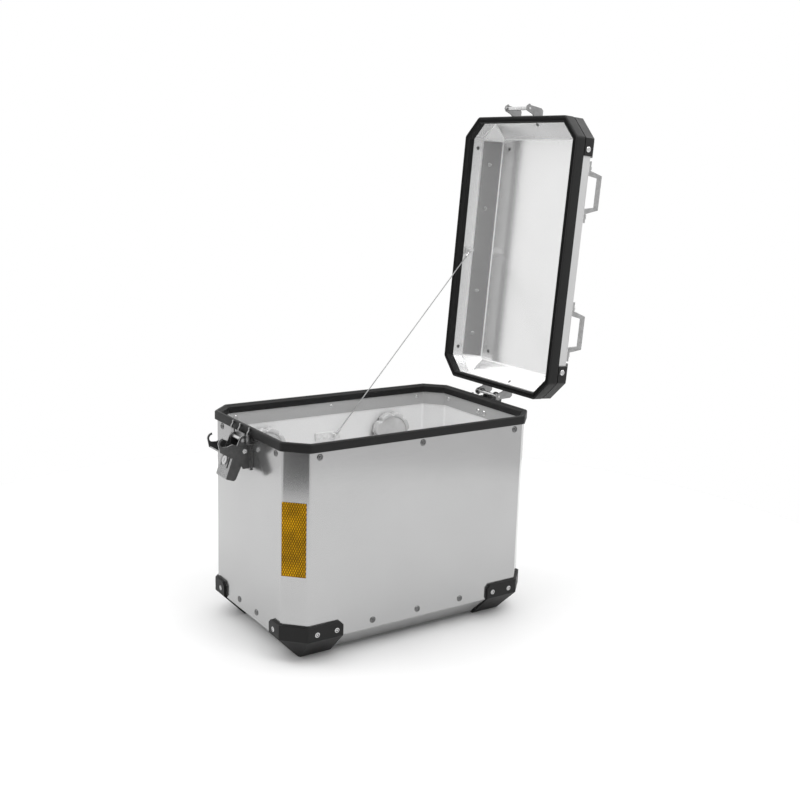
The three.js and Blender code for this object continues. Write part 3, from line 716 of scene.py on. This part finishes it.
# ---- lid stay ----
LID_EYE = Vector((2.3, 132.4, RIM_TOP + 28))
CASE_EYE = Vector((5.0, 132.4, RIM_TOP - 75 - SHEET))
AS_DRAWN = Matrix.Identity(4)
WIRE_RADIUS = 1.0
STRAND_RADIUS = 0.7  # bare wire in the end loops
LOOP_HALF_WIDTH = 2.2
LOOP_BACK = 2.0  # the loop goes this far round behind the eye
SLEEVE_START = 6.0  # from the eye along the wire
SLEEVE = (
    (0, 0), (1.7, 0), (2.1, 0.5), (2.1, 9.5), (1.7, 10), (1.15, 10), (1.15, 0.4), (0, 0.4),
)


def make_wire_end(name, eye, along, body):
    """The wire's end: a narrow loop round the anchor's eye, closed by a pressed sleeve.
    The sleeve starts a little way along the wire, which passes through it."""
    side = along.cross(Vector((0, 1, 0))).normalized() * LOOP_HALF_WIDTH
    half = ((SLEEVE_START, 0.35), (SLEEVE_START * 0.45, 1.0), (0.0, 0.9), (-LOOP_BACK, 0.4))
    loop = [eye + along * out + side * wide for out, wide in half]
    loop += [eye + along * out - side * wide for out, wide in reversed(half)]
    steps = 4
    path = []
    for i, here in enumerate(loop[:-1]):
        path += [here.lerp(loop[i + 1], k / steps) for k in range(steps)]
    path.append(loop[-1])
    strand = tube(path, STRAND_RADIUS, 8)
    piece(f"{name}_wire_loop", *strand, BRIGHT, body, AS_DRAWN, slot="bright_steel")
    sleeve = turned(SLEEVE, eye + along * SLEEVE_START * 0.9, along, 20)
    piece(f"{name}_wire_sleeve", *sleeve, BRIGHT, body, AS_DRAWN, slot="bright_steel")


def make_lid_stay():
    """A taut coated wire between two eyes, with a loop and a pressed sleeve at each end."""
    lid_eye = OPEN_LID @ LID_EYE
    along = (lid_eye - CASE_EYE).normalized()
    start, end = CASE_EYE + along * SLEEVE_START, lid_eye - along * SLEEVE_START
    steps = 60
    path = [start.lerp(end, i / steps) for i in range(steps + 1)]
    coat = tube(path, WIRE_RADIUS, 12)
    wire = piece("stay_wire", *coat, CORD_COAT, None, AS_DRAWN, ["lanyard_cord"], "cord_coating")
    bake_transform(wire)
    make_wire_end("case", CASE_EYE, along, "case")
    make_wire_end("lid", lid_eye, -along, "lid")


# ---- every CAD node that keeps its own shape gets its finish and softened edges ----
BRIGHT_ENDINGS = ("pin", "rivet_front", "rivet_back", "cylinder", "bar", "spindle")


def finish_nodes():
    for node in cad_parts:
        if "corner_guard" in node or "knob_plate" in node:
            keep(node, BLACK, 0.9)
        elif "lid_cap" in node:
            keep(node, CAP_BLACK, 1.1)
        elif "lashing_loop" in node:
            keep(node, LOOP_METAL, 1.4)
        elif node == "reflector":
            keep(node, AMBER, 0.3)
        elif node.endswith(BRIGHT_ENDINGS):
            keep(node, BRIGHT, 0.3)
        elif node.endswith("clamp_lug"):
            keep(node, LATCH, 0.6)
        elif node.endswith("anchor"):
            keep(node, ANCHOR, 0.5)


def plate_work(node, name, body, material):
    """A latch part pressed from sheet: the faces that look along y in one finish, and every other face
    (cut edges, folds, fronts) in a lighter copy of it, a painted highlight.
    """
    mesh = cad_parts[node].data.copy()
    mesh.materials.clear()
    mesh.materials.append(material)
    mesh.materials.append(LATCH_PAINTED_HIGHLIGHT)
    mark_sharp(mesh)
    for face in mesh.polygons:
        # Faces that don't look along y take the lighter copy, a painted highlight.
        face.material_index = 0 if abs(face.normal.y) > 0.5 else 1
    obj = bpy.data.objects.new(name, mesh)
    bpy.context.collection.objects.link(obj)
    soften(obj, 0.4)
    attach(obj, body)
    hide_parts(node)


def make_latch_plates():
    for end in ("left", "right"):
        plate_work(f"{end}_latch_base", f"{end}_base_plates", "case", LATCH)
        plate_work(f"{end}_latch_lever", f"{end}_lever_plates", f"{end}_lever", LATCH)
        plate_work(f"{end}_latch_claw", f"{end}_claw_plates", f"{end}_claw", LATCH)
        plate_work(f"{end}_keeper", f"{end}_keeper_plates", "lid", KEEPER)


finish_nodes()
make_latch_plates()
make_walls()
make_tray()
make_rim()
make_lid_pressing()
make_lid_frame()
make_wall_rivets()
make_guard_rivets()
make_lid_rivets()
make_rivet_flanges("left", -1, LEFT_LEVER_OPEN)
make_rivet_flanges("right", 1, 0.0)
make_knob("left", -132.0)
make_knob("right", 120.0)
make_lid_stay()


# ---- studio ----
ROOM_LIGHT = 0.9
DARK_LIGHT = 0.09
DARK_SIDE = Vector((-0.83, -0.56, 0.0))  # towards the dark gap in the room


def make_world():
    """A white room with one tall dark gap behind the camera, on the front left."""
    world = bpy.data.worlds.new("studio")
    bpy.context.scene.world = world
    world.use_nodes = True
    tree = world.node_tree
    link = tree.links.new
    direction = tree.nodes.new("ShaderNodeTexCoord").outputs["Generated"]

    def along(axis):
        node = tree.nodes.new("ShaderNodeVectorMath")
        node.operation = "DOT_PRODUCT"
        node.inputs[1].default_value = axis
        link(direction, node.inputs[0])
        return node.outputs["Value"]

    def between(value, low, high):
        node = tree.nodes.new("ShaderNodeMapRange")
        node.inputs["From Min"].default_value = low
        node.inputs["From Max"].default_value = high
        node.inputs["To Min"].default_value = DARK_LIGHT
        node.inputs["To Max"].default_value = ROOM_LIGHT
        link(value, node.inputs["Value"])
        return node.outputs["Result"]

    def combine(operation, one, other=None):
        node = tree.nodes.new("ShaderNodeMath")
        node.operation = operation
        link(one, node.inputs[0])
        if other:
            link(other, node.inputs[1])
        return node.outputs["Value"]

    sideways = combine("ABSOLUTE", along((-DARK_SIDE.y, DARK_SIDE.x, 0.0)))
    beside = between(sideways, 0.13, 0.40)
    opposite = between(along(-DARK_SIDE), -0.1, 0.1)
    above = between(along((0.0, 0.0, 1.0)), 0.35, 0.7)
    room = combine("MAXIMUM", combine("MAXIMUM", beside, opposite), above)
    backdrop = tree.nodes.new("ShaderNodeLightPath").outputs["Is Camera Ray"]
    link(combine("MAXIMUM", room, backdrop), tree.nodes["Background"].inputs["Color"])


def make_floor():
    """A round pale table top."""
    floor_z = cad_box[0][2]
    reach, sides = 1.05, 96
    turns = [2 * math.pi * k / sides for k in range(sides)]
    edge = [(reach * math.cos(a), reach * math.sin(a), floor_z) for a in turns]
    mesh = bpy.data.meshes.new("floor")
    mesh.from_pydata(edge, [], [range(sides)])
    n = Nodes("studio_floor")
    tone = n.ramp(n.noise(n.position(), scale=3.0, detail=2.0), [(0.3, 0.70), (0.7, 0.72)])
    n.link(tone, n.shader.inputs["Base Color"])
    n.set(Roughness=0.55, Emission_Color=(1.0, 1.0, 1.0, 1.0), Emission_Strength=0.02)
    mesh.materials.append(n.material)
    floor = bpy.data.objects.new("floor", mesh)
    bpy.context.collection.objects.link(floor)


def make_lights():
    """Square soft lights, all aimed at the case: place and size in metres, power in watts."""
    target = Vector((0.0, 0.0, 0.25))
    for name, place, size, power in (
        ("key", (-1.9, 0.9, 2.4), 2.2, 42.0),
        ("fill", (2.2, -0.4, 2.0), 1.8, 20.0),
        ("top", (0.2, 0.4, 3.0), 2.6, 26.0),
        ("front", (0.3, -1.6, 2.4), 1.0, 26.0),
    ):
        data = bpy.data.lights.new(name, "AREA")
        data.size = size
        data.energy = power
        light = bpy.data.objects.new(name, data)
        light.location = place
        light.rotation_euler = (target - light.location).to_track_quat("-Z", "Y").to_euler()
        bpy.context.collection.objects.link(light)


make_world()
make_floor()
make_lights()
bpy.context.scene.view_settings.view_transform = "Standard"
